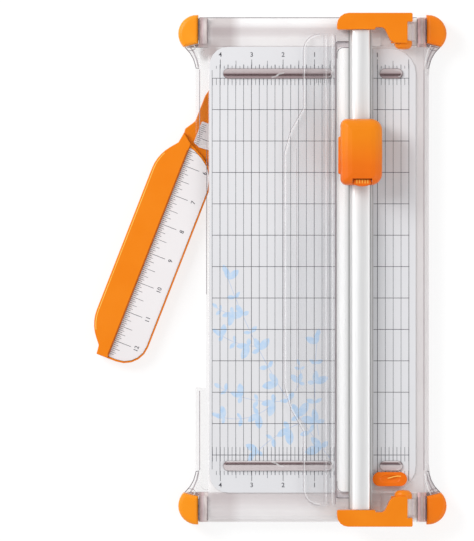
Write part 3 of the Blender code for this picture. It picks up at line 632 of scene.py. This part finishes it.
# Painted shade, soft painted shade and painted highlight for the lines along the clear plastic's edges.
painted_edge_shade = edge_look("clear_edge_painted_shade", (118, 110, 115), (134, 126, 130), 0.7)
painted_edge_soft_shade = edge_look("clear_edge_painted_soft_shade", (160, 151, 156), (176, 168, 172), 0.6)
painted_edge_highlight = edge_look("clear_edge_painted_highlight", (250, 250, 251), (255, 255, 255), 0.3, 0.12)
# A painted highlight colour, for the grip's edge, the button's ridges and the lock slide.
grip_highlight = moulded("orange_grip_painted_highlight", (255, 186, 78), (255, 200, 96), rough=(0.2, 0.26))
# A painted highlight colour for the casing's right-hand rim.
cover_highlight_orange = moulded("orange_cover_painted_highlight", (255, 158, 48), (255, 166, 60), rough=(0.24, 0.3))
# A painted shadow colour for the step down from the grip to the long ruler.
grip_shade = moulded("orange_grip_painted_shadow", (176, 84, 16), (188, 92, 20), rough=(0.4, 0.5))
base_clear = clear_base_look()
guard_clear = clear_guard_look()
mat_look = paper_look("printed_mat_sheet", (229, 229, 232), 0.84)
strip_look = cutting_strip_look()
ruler_look = paper_look("ruler_plastic", (238, 234, 235))
nylon = moulded("white_nylon", (233, 233, 230), (238, 238, 235), rough=(0.42, 0.55))
rail_aluminium = rail_look()
steel = metal("bright_steel", (176, 178, 182), (206, 208, 211), (0.22, 0.36), (1, 1, 14), 120)
dark_steel = metal("dark_plated_steel", (86, 88, 92), (112, 114, 119), (0.32, 0.46), (1, 1, 8), 160)
rubber = rubber_look()
ink = ink_look("grey_print", (72, 72, 78), (90, 90, 96))
fine_ink = ink_look("fine_grey_print", (92, 94, 100), (110, 112, 118))
leaf_ink = ink_look("pale_blue_print", (186, 213, 242), (205, 222, 241), 0.84)
stem_ink = ink_look("pale_stem_print", (188, 202, 228), (202, 212, 232), 0.84)

NODE_LOOKS = {
    "clear_base": base_clear, "paper_guard": guard_clear, "mat_left": mat_look, "mat_right": mat_look,
    "cutting_strip": strip_look, "rail": rail_aluminium, "arm_body": arm_orange,
    "arm_ruler_long": ruler_look, "arm_ruler_short": ruler_look, "arm_washer": nylon,
    "arm_pivot_screw": steel, "blade_disc": steel, "blade_axle": dark_steel, "blade_holder": nylon,
    "carriage_shoe": nylon, "carriage_cover": cover_orange, "blade_release_button": cover_orange,
    "lock_slide": knob_orange, "lock_keeper": nylon, "lock_screw": dark_steel,
    "bracket_front": bracket_orange, "bracket_rear": bracket_orange,
}
KIND_LOOKS = {"foot": rubber, "bracket": dark_steel, "guard": dark_steel, "hinge": steel, "press": steel}


def look_for(node):
    """The material of a CAD node: its own, or the one for its kind, such as all the screws."""
    if node in NODE_LOOKS:
        return NODE_LOOKS[node]
    kind = node.split("_")[0]
    # Corner caps take the lit copy of their orange on the left and the shaded copy on the right: painted
    # light and painted shade.
    if kind == "corner":
        return left_cap_orange_lit if node.endswith("left") else right_cap_orange_shaded
    return KIND_LOOKS[kind]


for name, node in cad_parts.items():
    for entry in node.material_slots:
        entry.material = look_for(name)


# ---------------------------------------------------------------- print on the mats

FINE_WIDTH = 0.36
TICK_WIDTH = 0.42
GRID_WIDTH = 0.44
SIXTEENTH_WIDTH = 0.28
GRID_REACH = 166.0
LAST_QUARTER = 17
LAST_QUARTER_REACH = 161.5
MAT_SPANS = ((-81.2, 18.0), (49.4, 78.4))
MAT_EIGHTHS = [*range(-16, -7), *range(3, 35)]
EIGHTH_PARTS = (8, 4, 2, 1)
TICK_START = 162.7
REAR_TICK_ENDS = (170.1, 169.1, 165.9, 165.0)
FRONT_TICK_ENDS = (171.0, 168.5, 166.0, 166.0)
INNER_TICKS = ((PAPER_LINE, 149.4), (-155.0, -143.4))
SIXTEENTH_END = 151.0
REAR_NUMERALS = 173.9
FRONT_NUMERALS = -174.3
RIGHT_NUMERAL = 173.6
LOCK_LEFT = 53
LOCK_RIGHT = 73
LOCK_PRINT_END = 165.6
NUMERAL_SIZE = 5.2
STEM_WIDTH = 0.5


def graded(count, parts, values):
    """The value that goes with the first of the parts to divide a count."""
    return next(value for part, value in zip(parts, values) if count % part == 0)


def before_lock(x, front):
    """Where a line towards the front ends, short of the lock's opening in the right mat."""
    return min(front, LOCK_PRINT_END) if LOCK_LEFT < x < LOCK_RIGHT else front


def printed_grid():
    """The measuring grid: quarter inches across, inches down."""
    fine, heavy = bmesh.new(), bmesh.new()
    low, high = MAT_TOP - PRINT_SUNK, MAT_TOP + PRINT_PROUD
    for quarter in [*range(2, 18), *range(-4, -9, -1)]:
        x = CUT_LINE - quarter * INCH / 4 + (0.15 if quarter < 0 else -0.25)
        inch = quarter % 4 == 0
        reach = LAST_QUARTER_REACH if quarter == LAST_QUARTER else GRID_REACH
        bar(heavy if inch else fine, (x, -before_lock(x, reach)), (x, reach),
            GRID_WIDTH if inch else FINE_WIDTH, low, high)
    for row in range(13):
        y = PAPER_LINE - row * INCH
        for left, right in MAT_SPANS:
            bar(heavy, (left, y), (right, y), GRID_WIDTH, low, high + PRINT_STEP)
    return fine, heavy


def printed_scale(fine, heavy, texts):
    """Eighth-inch ticks and numerals at both ends of both mats."""
    low, high = MAT_TOP - PRINT_SUNK, MAT_TOP + PRINT_PROUD + PRINT_STEP
    for eighth in MAT_EIGHTHS:
        x = CUT_LINE - eighth * INCH / 8
        rear = graded(eighth, EIGHTH_PARTS, REAR_TICK_ENDS)
        front = before_lock(x, graded(eighth, EIGHTH_PARTS, FRONT_TICK_ENDS))
        if eighth < MAT_EIGHTHS[-1]:
            mesh, width = (heavy, TICK_WIDTH) if eighth % 8 == 0 else (fine, FINE_WIDTH)
            bar(mesh, (x, TICK_START), (x, rear), width, low, high)
            bar(mesh, (x, -TICK_START), (x, -front), width, low, high)
        for start, end in INNER_TICKS:
            bar(fine, (x, start), (x, end), FINE_WIDTH, low, high)
    for sixteenth in range(7, 16):
        x = CUT_LINE - sixteenth * INCH / 16
        bar(fine, (x, PAPER_LINE), (x, SIXTEENTH_END), SIXTEENTH_WIDTH, low, high)
    for number in (1, 2, 3, 4):
        x = CUT_LINE - number * INCH
        add_text(texts, str(number), NUMERAL_SIZE, (x, REAR_NUMERALS), (1, 0), low, high)
        add_text(texts, str(number), NUMERAL_SIZE, (x, FRONT_NUMERALS), (1, 0), low, high)
    add_text(texts, "1", NUMERAL_SIZE, (CUT_LINE + INCH, RIGHT_NUMERAL), (1, 0), low, high)


def leaf(mesh, x, y, heading, length, width):
    """A pointed oval leaf that starts at a point and grows along a heading in degrees."""
    angle = math.radians(heading)
    forward = Vector((math.cos(angle), math.sin(angle)))
    side = Vector((-forward.y, forward.x))
    shape = [(0.0, 0.0), (0.12, 0.26), (0.3, 0.43), (0.5, 0.5), (0.7, 0.44), (0.87, 0.27), (1.0, 0.0)]
    outline = [Vector((x, y)) + forward * a * length + side * b * width for a, b in shape]
    outline += [Vector((x, y)) + forward * a * length - side * b * width for a, b in reversed(shape[1:-1])]
    leaves_so_far = len(mesh.faces) // (len(outline) + 2)
    level = MAT_TOP + 0.014 + 0.0027 * (leaves_so_far % 10)
    slab(mesh, [tuple(p) for p in outline], MAT_TOP - PRINT_SUNK, level)


def sprig(stems, leaves, start, heading, length, bend, pairs, size):
    """A curved stem with leaves in turn large and small, that shrink a little towards its tip."""
    point = Vector(start)
    steps = pairs * 3
    for step in range(steps):
        angle = math.radians(heading + bend * step / steps)
        following = point + Vector((math.cos(angle), math.sin(angle))) * (length / steps)
        bar(stems, point, following + (following - point) * 0.06, STEM_WIDTH, MAT_TOP - PRINT_SUNK,
            MAT_TOP + 0.003 + 0.0008 * (step % 9))
        point = following
        if step % 3 != 1:
            continue
        here = math.degrees(angle)
        pair = step // 3
        share = (1.0 - 0.25 * step / steps) * (1.0 if pair % 2 == 0 else 0.6)
        turn = 1 if (pair // 2) % 2 == 0 else -1
        leaf(leaves, point.x, point.y, here + turn * 68, size * share, size * share * 0.5)
        leaf(leaves, point.x, point.y, here + turn * (8 if pair % 2 == 0 else -62),
             size * share * 0.84, size * share * 0.4)
        if pair % 3 != 1:
            leaf(leaves, point.x, point.y, here - turn * 84, size * share * 0.5, size * share * 0.3)
    leaf(leaves, point.x, point.y, heading + bend, size * 0.5, size * 0.26)


mesh_fine, mesh_heavy = printed_grid()
mesh_text = bmesh.new()
printed_scale(mesh_fine, mesh_heavy, mesh_text)
piece("mat_print_fine_lines", mesh_fine, fine_ink, "base")
piece("mat_print_inch_lines", mesh_heavy, ink, "base")
piece("mat_print_numerals", mesh_text, ink, "base")

# Each sprig: its start, heading and length, how far its stem bends, its pairs of leaves and their size.
SPRIGS = [
    ((14.0, -152.0), 129, 172, -20, 11, 14.5), ((-22.0, -106.0), 186, 54, -38, 4, 13.0),
    ((-44.0, -62.0), 178, 34, -36, 3, 12.5), ((5.0, -134.0), 98, 80, -16, 5, 13.5),
    ((-10.0, -124.0), 204, 46, 24, 3, 14.0), ((-36.0, -112.0), 214, 42, -56, 3, 12.5),
    ((-58.0, -34.0), 196, 20, -60, 2, 11.0), ((-14.0, -98.0), 60, 22, 50, 2, 10.0),
]
mesh_stems, mesh_leaves = bmesh.new(), bmesh.new()
for sprig_values in SPRIGS:
    sprig(mesh_stems, mesh_leaves, *sprig_values)
piece("mat_print_stems", mesh_stems, stem_ink, "base")
piece("mat_print_leaves", mesh_leaves, leaf_ink, "base")


# ---------------------------------------------------------------- print on the ruler arm

RULER_ZERO = 89.66
RULER_TICK_WIDTH = 0.34
LONG_TICKS = (13.8, 10.0, 6.5, 4.4, 3.2)
SHORT_TICKS = (12.4, 9.0, 6.0, 4.0, 4.0)


def along_ruler(inches):
    """How far out along the arm a reading of its scale lies."""
    return inches * INCH - RULER_ZERO


def ruler_ticks(mesh, sixteenths, start, lengths, top):
    """Ticks whose lengths are for inches, halves, quarters, eighths and sixteenths."""
    for sixteenth in sixteenths:
        s = along_ruler(sixteenth / 16)
        length = graded(sixteenth, (16, 8, 4, 2, 1), lengths)
        width = TICK_WIDTH if sixteenth % 16 == 0 else RULER_TICK_WIDTH
        bar(mesh, on_arm(s, start), on_arm(s, start - length), width, top - PRINT_SUNK, top + PRINT_PROUD)


def printed_ruler():
    """The inch scale that runs over both rulers of the arm."""
    lines, texts = bmesh.new(), bmesh.new()
    ruler_ticks(lines, range(88, 200), 20.6, LONG_TICKS, LONG_RULER_TOP)
    for number in range(6, 13):
        add_text(texts, str(number), 4.9, on_arm(along_ruler(number), 1.9), -ALONG, LONG_RULER_TOP,
                 LONG_RULER_TOP + PRINT_PROUD)
    ruler_ticks(lines, range(73, 84), 19.0, SHORT_TICKS, SHORT_RULER_TOP)
    add_text(texts, "5", 4.6, on_arm(along_ruler(5), 5.6), -ALONG, SHORT_RULER_TOP,
             SHORT_RULER_TOP + PRINT_PROUD)
    return lines, texts


ruler_lines, ruler_texts = printed_ruler()
piece("arm_print_ticks", ruler_lines, ink, "swing_arm")
piece("arm_print_numerals", ruler_texts, ink, "swing_arm")


# ---------------------------------------------------------------- moulded edges

# The clear base's top as (place, height), along |Y| over its end bars and along |X| over its sides.
END_PROFILE = [(180.8, BASE_TOP), (183.2, 18.6), (187.0, 19.5), (191.5, 19.8), (195.5, 19.2), (199.0, 17.9),
               (202.0, 15.6), (203.8, 12.6), (204.5, 9.5)]
SIDE_PROFILE = [(90.2, BASE_TOP), (92.6, 16.6), (94.0, 14.2), (94.5, 11.5)]


def base_height(x, y):
    """The clear base's top surface, across its shoulders and end bars."""
    on_end = abs(y) > END_PROFILE[0][0]
    profile, place = (END_PROFILE, abs(y)) if on_end else (SIDE_PROFILE, abs(x))
    height = profile[0][1]
    for (low, low_z), (high, high_z) in zip(profile, profile[1:]):
        if place >= low:
            height = low_z + (high_z - low_z) * min((place - low) / (high - low), 1.0)
    return height


def on_base(points):
    return [(x, y, base_height(x, y) + 0.02) for x, y in points]


def quarter_of(points, sx, sy):
    """Points of the rear right quarter, taken to another quarter of the base."""
    return [(sx * x, sy * y) for x, y in points]


def at_height(points, z):
    return [(x, y, z) for x, y in points]


def channel_edges(dark, soft):
    """Painted shade lines that outline the cutting strip's channel and the strip's rounded ends."""
    left, right, end, radius = 18.45, 35.1, 184.6, 2.6
    channel = rounded([(left, -end, radius), (right, -end, radius), (right, end, radius),
                       (left, end, radius)], 4)
    ribbon(dark, on_base(channel), 0.6, closed=True)
    strip_end = [(19.9, 171.0), (19.9, 174.6), (20.3, 176.6), (21.5, 178.4), (23.3, 179.4), (25.2, 179.7),
                 (33.6, 179.7)]
    ribbon(dark, at_height(strip_end, STRIP_TOP + 0.04), 0.5)
    ribbon(soft, at_height(quarter_of(strip_end, 1, -1), STRIP_TOP + 0.04), 0.5)


def corner_edges(dark, soft, light):
    """Painted shade and highlight lines on the ribs and the flared walls at the four corners of the base."""
    flare = [(103.2, 180.2), (98.9, 175.3), (96.2, 170.5), (94.7, 165.6), (94.2, 163.2), (91.6, 163.0)]
    inner = [(99.4, 181.0), (96.0, 176.0), (93.7, 170.4), (92.1, 163.8)]
    fold = [(96.0, 182.0), (93.6, 177.4), (91.8, 171.6), (90.8, 164.8)]
    cross = [(100.4, 177.2), (96.4, 177.6), (93.0, 181.4)]
    for sy in (-1, 1):
        for sx in (-1, 1):
            for x, mesh in ((84.7, dark), (88.4, light), (91.5, dark)):
                ribbon(mesh, at_height(quarter_of([(x, 183.4), (x, 202.6)], sx, sy), RIB_TOP + 0.02), 0.5)
            ribbon(dark, at_height(quarter_of(flare, sx, sy), FLARE_TOP + 0.04), 0.7)
            ribbon(soft, at_height(quarter_of(inner, sx, sy), FLARE_TOP + 0.05), 1.1)
            here = quarter_of(fold, sx, sy)
            ribbon(light, on_base(here) if sx < 0 else at_height(here, BASE_TOP + 0.04), 0.8)
            ribbon(dark, at_height(quarter_of(cross, sx, sy), FLARE_TOP + 0.07), 0.45)


def wall_edges(dark, soft, light):
    """Painted shade and highlight lines at the base's left notch, the outer edge of its rear bar, and its two
    side walls.
    """
    ribbon(dark, [(-85.6, -20.0, BASE_TOP + 0.02), (-85.6, 97.0, BASE_TOP + 0.02)], 0.5)
    ribbon(dark, [(-91.0, 204.1, 11.6), (84.4, 204.1, 11.6)], 0.8)
    for low, high in ((104.0, 162.0), (-162.0, -98.0)):
        ribbon(soft, on_base([(-91.3, low), (-91.3, high)]), 0.7)
    ribbon(soft, on_base([(90.2, -162.0), (90.2, 162.0)]), 0.5)
    ribbon(light, on_base([(91.6, -162.0), (91.6, 162.0)]), 0.7)


def ledge_edges(soft, light):
    """Painted shade lines on the rims of the paper ledges, with the painted highlight that hooks round their
    ends and crosses the left one.
    """
    inner, outer, radius = 154.8, 162.5, 3.8
    hook = [(10.5, 161.6), (13.2, 161.5), (14.9, 160.3), (15.3, 158.4), (14.6, 156.7), (12.8, 156.1)]
    slant = [(-33.0, 155.6), (-29.5, 156.4), (-27.0, 158.4), (-23.0, 159.2)]
    for sy in (-1, 1):
        for left, right in ((-72.0, 16.2), (54.6, 72.9)):
            rim = rounded([(left, sy * inner, radius), (right, sy * inner, radius),
                           (right, sy * outer, radius), (left, sy * outer, radius)], 5)
            ribbon(soft, at_height(rim, RIM_HEIGHT), 0.4, closed=True)
        for shift in (0.0, 56.7):
            ribbon(light, [(x + shift, sy * y, LEDGE_TOP + 0.02) for x, y in hook], 0.8)
        ribbon(light, at_height(quarter_of(slant, 1, sy), LEDGE_TOP), 1.3)


def base_edges():
    """Painted shade and highlight lines where the clear base's walls, ribs, flares and channel bend the
    light.
    """
    dark, soft, light = bmesh.new(), bmesh.new(), bmesh.new()
    channel_edges(dark, soft)
    corner_edges(dark, soft, light)
    wall_edges(dark, soft, light)
    ledge_edges(soft, light)
    return dark, soft, light


def guard_edges():
    """Painted shade and highlight lines along the clear guard's bevelled rim and the fine steps moulded along
    it.
    """
    soft, light = bmesh.new(), bmesh.new()
    half = [(19.6, 191.3, 0.0), (-8.2, 191.3, 14.0), (-8.2, 130.8, 4.0), (-18.6, 112.6, 8.0),
            (-23.8, 94.0, 22.0)]
    corners = half + [(x, -y, r) for x, y, r in reversed(half)]
    rim = rounded(corners, 6)[1:-1]
    for distance, width, mesh in ((-0.8, 0.35, soft), (-1.7, 0.6, light)):
        ribbon(mesh, at_height(inset_path(rim, distance), GUARD_TOP), width)
    steps = [(-12.8, 98.0, 0.3, soft), (9.3, 189.6, 0.35, soft), (11.0, 189.6, 0.55, light),
             (12.5, 189.6, 0.3, soft), (15.9, 189.6, 0.8, light), (18.4, 189.6, 0.9, soft)]
    for x, end, width, mesh in steps:
        ribbon(mesh, [(x, -end, GUARD_TOP), (x, end, GUARD_TOP)], width)
    return soft, light


def arm_edges():
    """A painted highlight along the grip's rounded edge, and a painted shadow beside the long ruler where the
    grip stands above it.
    """
    bright, shadow_line = bmesh.new(), bmesh.new()
    grip = rounded([(39.5, 28.1, 0), (46.9, 29.5, 2), (62.4, 41.8, 34), (209.0, 41.8, 33), (223.4, 29.8, 3),
                    (229.0, 29.2, 0)], 10)
    ribbon(bright, [(*on_arm(s, t), ARM_TOP) for s, t in grip if 58 < s < 213], 0.7)
    ribbon(shadow_line, [(*on_arm(s, 21.75), ARM_TOP) for s in (50.0, 228.0)], 0.75)
    return bright, shadow_line


def button_ridges():
    """Finger ridges across the front of the release button, coloured with a painted highlight."""
    mesh = bmesh.new()
    top = top_of("blade_release_button")
    for step in range(5):
        x = 35.3 + 2.2 * step
        ribbon(mesh, [(x, 69.4, top), (x, 72.4, top)], 0.9)
    return mesh


def cover_trim():
    """A painted highlight along the casing's right-hand rim, and painted orange that covers the shade of the
    gap around the button.
    """
    rim, gap_fill = bmesh.new(), bmesh.new()
    path = [(46.5, 120.2), (50.8, 118.9), (53.4, 116.0), (54.7, 111.0), (54.95, 97.0), (54.7, 79.0),
            (53.3, 74.0), (50.6, 70.7)]
    ribbon(rim, at_height(path, 49.4), 0.7)
    left, right, front, rear = 31.75, 47.65, 69.4, 73.35
    ribbon(gap_fill, [(left, front, 49.9), (left, rear, 52.5), (right, rear, 52.5), (right, front, 49.9)], 0.5)
    return rim, gap_fill


def lock_ridge():
    """A painted highlight on the lock slide, drawn as a low raised strip."""
    mesh = bmesh.new()
    path = [(60.8, -168.5), (64.6, -167.5), (68.4, -166.7), (71.4, -166.9)]
    ribbon(mesh, at_height(path, top_of("lock_slide")), 0.8)
    return mesh


def add_pieces(names, meshes, looks, body):
    """Show several meshes that ride on one body, each with its own look."""
    for name, mesh, look in zip(names, meshes, looks):
        piece(name, mesh, look, body)


piece("lock_slide_highlight", lock_ridge(), grip_highlight, "rail_lock")
piece("button_ridges", button_ridges(), grip_highlight, "release_button")
# A painted highlight on the casing's rim, and orange painted over the shade in the button's gap.
add_pieces(("carriage_cover_rim_highlight", "carriage_button_gap_fill"), cover_trim(), (cover_highlight_orange, knob_orange),
           "press_head")
add_pieces(("base_edges_painted_shade", "base_edges_painted_soft_shade", "base_edges_painted_highlight"), base_edges(),
           (painted_edge_shade, painted_edge_soft_shade, painted_edge_highlight), "base")
add_pieces(("guard_edges_painted_shade", "guard_edges_painted_highlight"), guard_edges(), (painted_edge_soft_shade, painted_edge_highlight), "rail")
add_pieces(("arm_grip_highlight", "arm_grip_shadow"), arm_edges(), (grip_highlight, grip_shade), "swing_arm")


# ---------------------------------------------------------------- stage, light and camera

VIEW_CENTRE = (-61.033, -0.607)
VIEW_HEIGHT = 437.626
LENS = 400.0
SENSOR = 36.0
FLOOR_HALF = 60.0
FLOOR_DROP = 0.0002


def floor_look():
    """The photo's plain pale ground."""
    look = Look("pale_floor")
    look.feed("Base Color", look.ramp(look.noise(0.6, 2.0), [(0.3, grey_tint(0.24)), (0.7, grey_tint(0.26))]))
    look.socket("Roughness", 0.9)
    look.socket("Specular IOR Level", 0.0)
    look.socket("Emission Color", WHITE)
    look.socket("Emission Strength", 0.76)
    return look.material


def pale_floor():
    mesh = bpy.data.meshes.new("floor")
    corners = [(-FLOOR_HALF, -FLOOR_HALF, 0), (FLOOR_HALF, -FLOOR_HALF, 0), (FLOOR_HALF, FLOOR_HALF, 0),
               (-FLOOR_HALF, FLOOR_HALF, 0)]
    mesh.from_pydata(corners, [], [(0, 1, 2, 3)])
    mesh.materials.append(floor_look())
    made = bpy.data.objects.new("floor", mesh)
    made.location.z = -FLOOR_DROP
    bpy.context.scene.collection.objects.link(made)
    return made


def studio_world():
    """A white room that darkens a little overhead."""
    world = bpy.data.worlds.new("studio")
    world.use_nodes = True
    bpy.context.scene.world = world
    tree = world.node_tree
    background = tree.nodes["Background"]
    direction = tree.nodes.new("ShaderNodeTexCoord")
    split = tree.nodes.new("ShaderNodeSeparateXYZ")
    sky = tree.nodes.new("ShaderNodeValToRGB")
    tree.links.new(direction.outputs["Generated"], split.inputs["Vector"])
    tree.links.new(split.outputs["Z"], sky.inputs["Fac"])
    tree.links.new(sky.outputs["Color"], background.inputs["Color"])
    low, high = sky.color_ramp.elements
    low.position, low.color = 0.25, WHITE
    high.position, high.color = 0.95, tint(0.42, 0.42, 0.425)
    background.inputs["Strength"].default_value = 1.0


def softbox(name, at, aim, size, power):
    """A rectangular light at a place in the row frame, turned to face another."""
    data = bpy.data.lights.new(name, "AREA")
    data.shape = "RECTANGLE"
    data.size, data.size_y = size
    data.energy = power
    light = bpy.data.objects.new(name, data)
    light.location = at
    light.rotation_mode = "QUATERNION"
    light.rotation_quaternion = (Vector(aim) - Vector(at)).to_track_quat("-Z", "Y")
    light.visible_camera = False
    bpy.context.scene.collection.objects.link(light)


def photo_camera():
    """A long lens straight above, framed as in the photo."""
    data = bpy.data.cameras.new("camera")
    data.lens = LENS
    data.sensor_width = SENSOR
    data.clip_start = 0.1
    data.clip_end = 100
    camera = bpy.data.objects.new("camera", data)
    distance = VIEW_HEIGHT * MM * LENS / SENSOR
    camera.location = put(*VIEW_CENTRE, MAT_TOP) + Vector((0, 0, distance))
    bpy.context.scene.collection.objects.link(camera)
    bpy.context.scene.camera = camera


floor = pale_floor()
studio_world()
softbox("key_left", (-1.15, 0.8, 1.2), (0, 0, 0.02), (0.7, 1.1), 23.6)
softbox("fill_right", (1.3, -0.6, 1.0), (0, 0, 0.02), (1.0, 1.0), 8)
photo_camera()
bpy.context.scene.view_settings.view_transform = "Standard"
bpy.context.scene.view_settings.look = "None"
